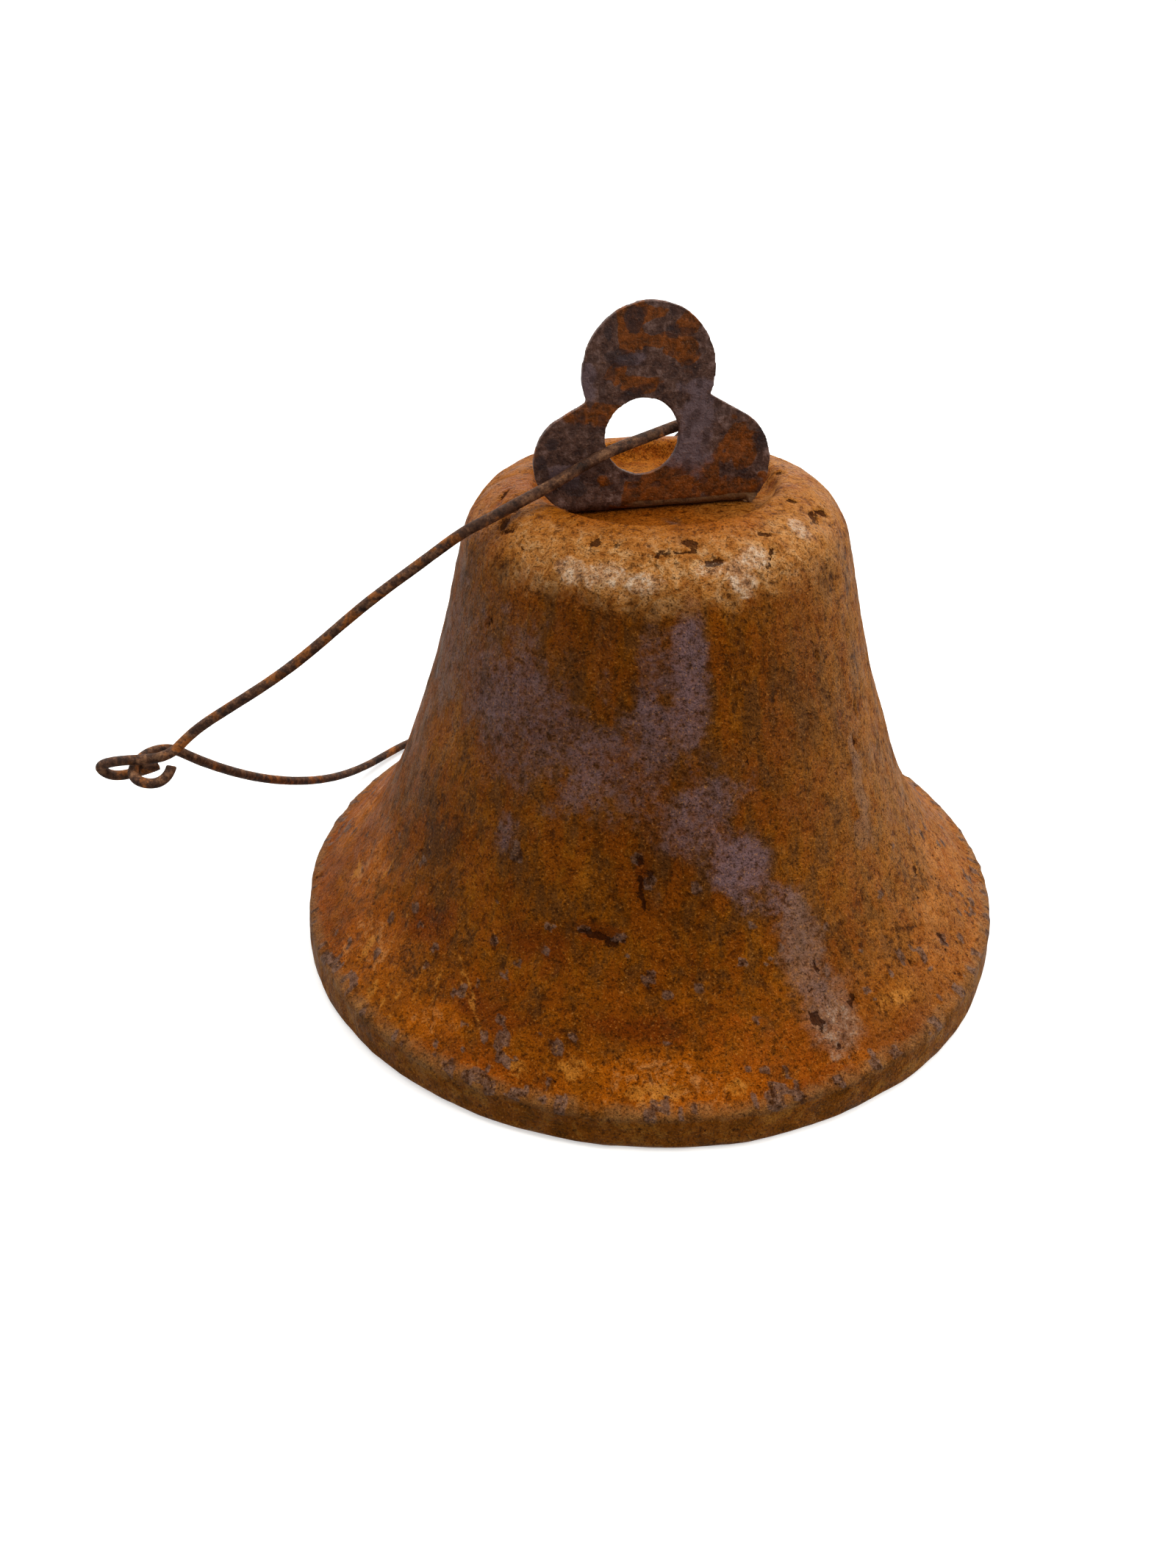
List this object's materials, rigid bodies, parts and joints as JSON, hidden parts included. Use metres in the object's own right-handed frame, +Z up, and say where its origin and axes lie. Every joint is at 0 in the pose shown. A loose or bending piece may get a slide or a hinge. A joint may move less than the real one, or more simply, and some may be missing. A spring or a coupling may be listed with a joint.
{
  "type": "yard dinner bell",
  "caption": "Flared hand-hung dinner bell with a round-lobed sheet hanger bolted through the crown, a ring-hung clapper inside and a long hooked wire loop for hanging.",
  "frame": {"origin": "centre of the mouth, in the plane the rim stands on", "axes": "+Z up along the bell's axis; the hanger plate stands in a plane parallel to XZ and its front faces -Y; the wire loop lies down towards -X"},
  "size_m": [0.3127, 0.2664, 0.2164],
  "materials": {
    "shell_iron": "rusted all over, orange-brown with grey-purple patches, waxy satin",
    "hanger_sheet": "rusted sheet steel, dark purple-brown with orange patches",
    "fastener_steel": "rusted steel, dark brown",
    "clapper_steel": "rusted steel, dark brown",
    "clapper_iron": "rusted cast iron, dark brown with a worn band",
    "wire_steel": "rusted steel wire, dark brown with tan rubbed spots"
  },
  "bodies": {
    "bell": {"bell_shell": "shell_iron", "hanger_plate": "hanger_sheet", "hanger_bolt": "fastener_steel", "crown_washer": "fastener_steel", "hanger_nut": "fastener_steel"},
    "link": {"clapper_link": "clapper_steel"},
    "clapper": {"clapper_rod": "clapper_steel", "clapper_ball": "clapper_iron"},
    "wire": {"hanging_wire": "wire_steel"}
  },
  "joints": [
    {"name": "link_sway", "type": "hinge", "parent": "bell", "child": "link", "pos_m": [0, 0, 0.132], "axis": [1, 0, 0], "range_deg": [-12, 12]},
    {"name": "clapper_swing", "type": "hinge", "parent": "link", "child": "clapper", "pos_m": [0, 0, 0.11535], "axis": [0, 1, 0], "range_deg": [-42, 42]},
    {"name": "wire_lift", "type": "hinge", "parent": "bell", "child": "wire", "pos_m": [-0.0078, -0.0124, 0.1778], "axis": [0.8986, 0.2747, 0.342], "range_deg": [0, 165]}
  ]
}
